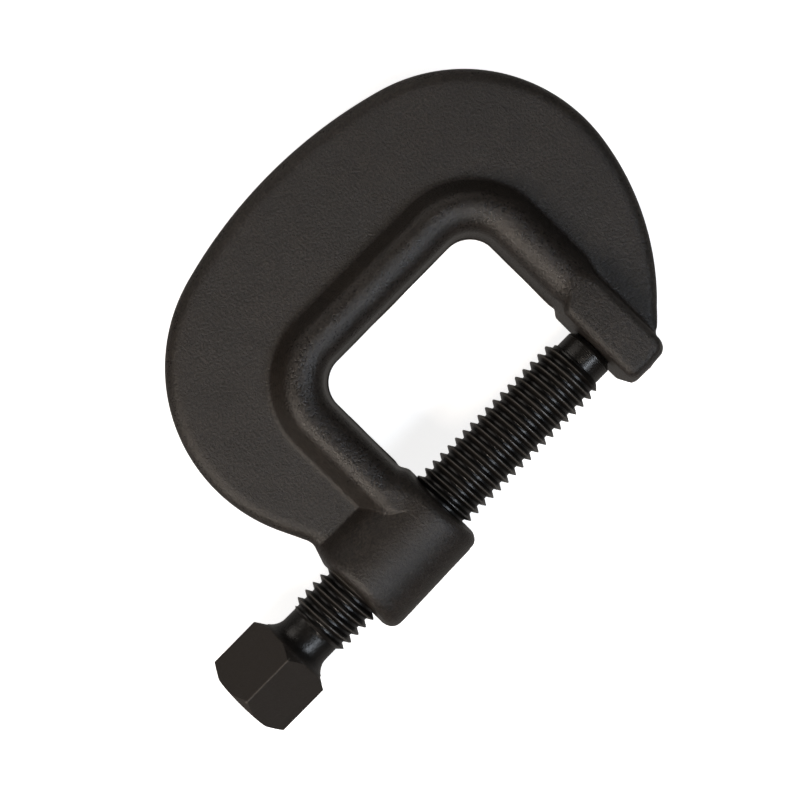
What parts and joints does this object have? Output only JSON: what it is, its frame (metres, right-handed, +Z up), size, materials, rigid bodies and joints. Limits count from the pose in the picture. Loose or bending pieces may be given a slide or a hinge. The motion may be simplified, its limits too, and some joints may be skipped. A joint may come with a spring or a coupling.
{
  "type": "c clamp",
  "caption": "Small forged steel C clamp: webbed one-piece frame with a square anvil, and a square-headed thrust screw with a plain point.",
  "frame": {"origin": "middle of the underside of the clamp as it lies flat", "axes": "+X along the screw from its head to the jaw, +Y from the screw to the spine, +Z up through the forging's thickness"},
  "size_m": [0.12, 0.0748, 0.0207],
  "materials": {
    "forged_frame": "dark oxide over a shot-blasted forging, semi-gloss",
    "oxide_screw": "black oxide over rolled and turned steel, oiled"
  },
  "bodies": {
    "frame": {"frame": "forged_frame"},
    "screw_tip": {"screw_tip": "oxide_screw"},
    "screw": {"screw": "oxide_screw"}
  },
  "joints": [
    {"name": "screw_feed", "type": "slide", "parent": "frame", "child": "screw_tip", "axis": [1, 0, 0], "range_m": [-0.0381, 0]},
    {"name": "screw_turn", "type": "hinge", "parent": "screw_tip", "child": "screw", "pos_m": [-0.02, -0.02704, 0.01035], "axis": [1, 0, 0], "range_deg": [-7021, 0]}
  ],
  "couplings": [
    {"joint": "screw_turn", "follows": "screw_feed", "rad_per_m": 3215.8}
  ]
}
